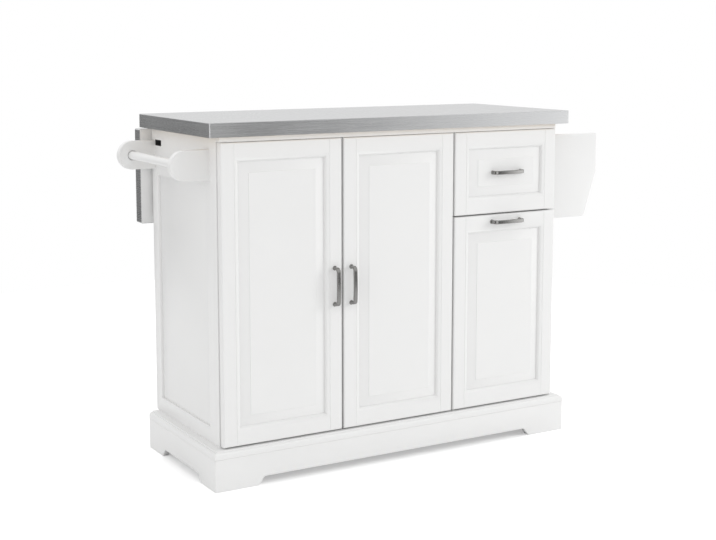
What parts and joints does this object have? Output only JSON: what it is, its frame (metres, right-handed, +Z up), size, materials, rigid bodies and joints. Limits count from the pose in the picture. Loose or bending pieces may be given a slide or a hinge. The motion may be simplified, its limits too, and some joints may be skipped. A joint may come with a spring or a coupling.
{
  "type": "drop leaf kitchen island",
  "caption": "Kitchen island cupboard with steel worktop, hinged drop leaf on folding struts, doors, drawer, pull-out bin, towel bar and spice rack.",
  "frame": {"origin": "centre of the whole object's footprint, on the floor", "axes": "+X to the right along the front, +Y from the front to the back where the leaf hangs, +Z up"},
  "size_m": [1.292, 0.5096, 0.914],
  "materials": {
    "white_paint": "satin white paint on wood",
    "steel": "brushed along the length",
    "nickel": "satin nickel",
    "zinc": "bright zinc plate",
    "birch": "clear lacquered pale wood",
    "rubber": "matt black"
  },
  "bodies": {
    "cabinet": {"worktop_core": "birch", "worktop_skin": "steel", "left_side_frame": "white_paint", "left_side_panel": "white_paint", "right_side_frame": "white_paint", "right_side_panel": "white_paint", "floor_panel": "white_paint", "divider": "white_paint", "back_panel": "white_paint", "top_front_rail": "white_paint", "top_rear_rail": "white_paint", "mid_rail": "white_paint", "shelf": "white_paint", "shelf_pins": "zinc", "plinth_front": "white_paint", "plinth_left": "white_paint", "plinth_right": "white_paint", "plinth_back": "white_paint", "corner_blocks": "birch", "glides": "rubber", "towel_bracket_front": "white_paint", "towel_bracket_rear": "white_paint", "towel_bar": "white_paint", "rack_front_end": "white_paint", "rack_rear_end": "white_paint", "rack_upper_shelf": "white_paint", "rack_lower_shelf": "white_paint", "rack_rails": "white_paint", "hinge_arms": "zinc", "drawer_runners": "zinc", "bin_runners": "zinc", "leaf_hinge_plates": "zinc", "strut_brackets": "zinc"},
    "left_door": {"left_door_frame": "white_paint", "left_door_panel": "white_paint", "left_door_handle": "nickel", "left_door_cups": "zinc"},
    "right_door": {"right_door_frame": "white_paint", "right_door_panel": "white_paint", "right_door_handle": "nickel", "right_door_cups": "zinc"},
    "drawer": {"drawer_front_frame": "white_paint", "drawer_front_panel": "white_paint", "drawer_handle": "nickel", "drawer_sides": "birch", "drawer_ends": "birch", "drawer_bottom": "birch", "drawer_slides": "zinc"},
    "bin": {"bin_front_frame": "white_paint", "bin_front_panel": "white_paint", "bin_handle": "nickel", "bin_tray_floor": "birch", "bin_tray_sides": "birch", "bin_slides": "zinc"},
    "leaf": {"leaf_core": "white_paint", "leaf_skin": "steel", "leaf_hinge_flaps": "zinc", "strut_catches": "zinc"},
    "left_strut": {"left_strut": "white_paint"},
    "right_strut": {"right_strut": "white_paint"}
  },
  "joints": [
    {"name": "left_door_hinge", "type": "hinge", "parent": "cabinet", "child": "left_door", "pos_m": [-0.535, -0.22175, 0.48475], "axis": [0, 0, -1], "range_deg": [0, 105]},
    {"name": "right_door_hinge", "type": "hinge", "parent": "cabinet", "child": "right_door", "pos_m": [0.13033, -0.22175, 0.48475], "axis": [0, 0, 1], "range_deg": [0, 85]},
    {"name": "drawer_slide", "type": "slide", "parent": "cabinet", "child": "drawer", "axis": [0, -1, 0], "range_m": [0, 0.28]},
    {"name": "bin_slide", "type": "slide", "parent": "cabinet", "child": "bin", "axis": [0, -1, 0], "range_m": [0, 0.3]},
    {"name": "leaf_hinge", "type": "hinge", "parent": "cabinet", "child": "leaf", "pos_m": [-0.031, 0.21425, 0.8735], "axis": [1, 0, 0], "range_deg": [0, 90]},
    {"name": "left_strut_pivot", "type": "hinge", "parent": "cabinet", "child": "left_strut", "pos_m": [-0.321, 0.20025, 0.7485], "axis": [1, 0, 0], "range_deg": [0, 135]},
    {"name": "right_strut_pivot", "type": "hinge", "parent": "cabinet", "child": "right_strut", "pos_m": [0.259, 0.20025, 0.7485], "axis": [1, 0, 0], "range_deg": [0, 135]}
  ],
  "couplings": [
    {"joint": "left_strut_pivot", "follows": "leaf_hinge", "ratio": 1.5},
    {"joint": "right_strut_pivot", "follows": "leaf_hinge", "ratio": 1.5}
  ]
}
